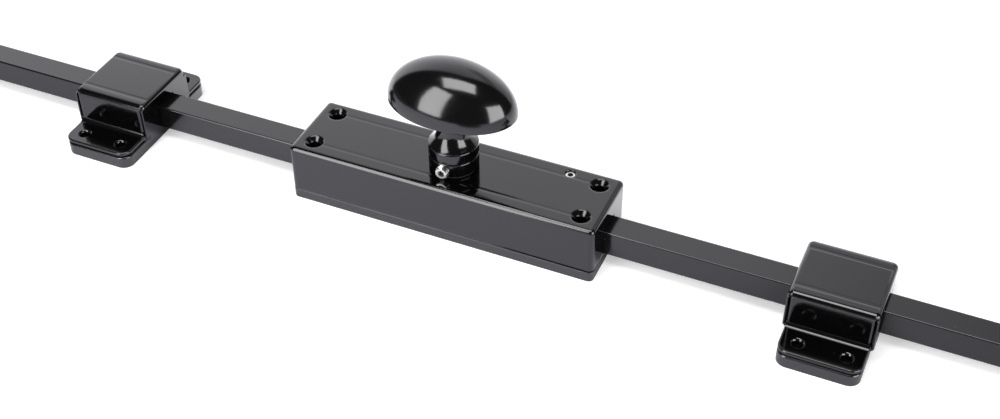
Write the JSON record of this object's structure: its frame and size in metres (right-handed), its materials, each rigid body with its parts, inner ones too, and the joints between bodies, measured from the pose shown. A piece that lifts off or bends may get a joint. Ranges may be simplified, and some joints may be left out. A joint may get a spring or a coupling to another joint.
{
  "type": "cremone bolt",
  "caption": "Surface-mounted cremone bolt: an oval knob on a gearbox drives square bars apart or together through a rack and pinion, and guides hold the bars.",
  "frame": {"origin": "on the mounting plane, under the knob's axis, at the middle of the gearbox", "axes": "+X along the bars towards the right bar's tip, +Y across the bars, +Z off the door along the knob's axis"},
  "size_m": [0.6, 0.0704, 0.0848],
  "materials": {
    "gloss_black_paint": "gloss powder coat on cast iron and steel",
    "satin_black_paint": "satin powder coat on mild steel",
    "bright_steel": "bright socket screw",
    "zinc_plated_steel": "zinc plated screw",
    "cut_steel": "machined steel with a film of grease",
    "bush_polymer": "natural acetal",
    "black_polymer": "black acetal"
  },
  "bodies": {
    "housing": {"gearbox_cover": "gloss_black_paint", "gearbox_base_plate": "satin_black_paint", "base_plate_screws": "zinc_plated_steel", "cover_bush": "bush_polymer", "base_bush": "bush_polymer", "knob_washer": "black_polymer", "left_guide_cover": "gloss_black_paint", "left_guide_base": "satin_black_paint", "right_guide_cover": "gloss_black_paint", "right_guide_base": "satin_black_paint"},
    "knob": {"oval_knob": "gloss_black_paint", "knob_shank": "gloss_black_paint", "knob_grub_screw": "bright_steel", "drive_spindle": "cut_steel", "drive_pinion": "cut_steel"},
    "left_bar": {"left_bar": "satin_black_paint", "left_rack": "cut_steel", "left_rack_screws": "zinc_plated_steel"},
    "right_bar": {"right_bar": "satin_black_paint", "right_rack": "cut_steel", "right_rack_screws": "zinc_plated_steel"},
    "lock_screw": {"lock_screw": "bright_steel"}
  },
  "joints": [
    {"name": "knob_turn", "type": "hinge", "parent": "housing", "child": "knob", "pos_m": [0, 0, 0.0294], "axis": [0, 0, 1], "range_deg": [0, 127.3]},
    {"name": "right_bar_slide", "type": "slide", "parent": "housing", "child": "right_bar", "axis": [-1, 0, 0], "range_m": [0, 0.02]},
    {"name": "left_bar_slide", "type": "slide", "parent": "housing", "child": "left_bar", "axis": [1, 0, 0], "range_m": [0, 0.02]},
    {"name": "lock_screw_travel", "type": "slide", "parent": "housing", "child": "lock_screw", "axis": [0, 0, -1], "range_m": [0, 0.0009]}
  ],
  "couplings": [
    {"joint": "right_bar_slide", "follows": "knob_turn", "m_per_rad": 0.009},
    {"joint": "left_bar_slide", "follows": "knob_turn", "m_per_rad": 0.009}
  ]
}
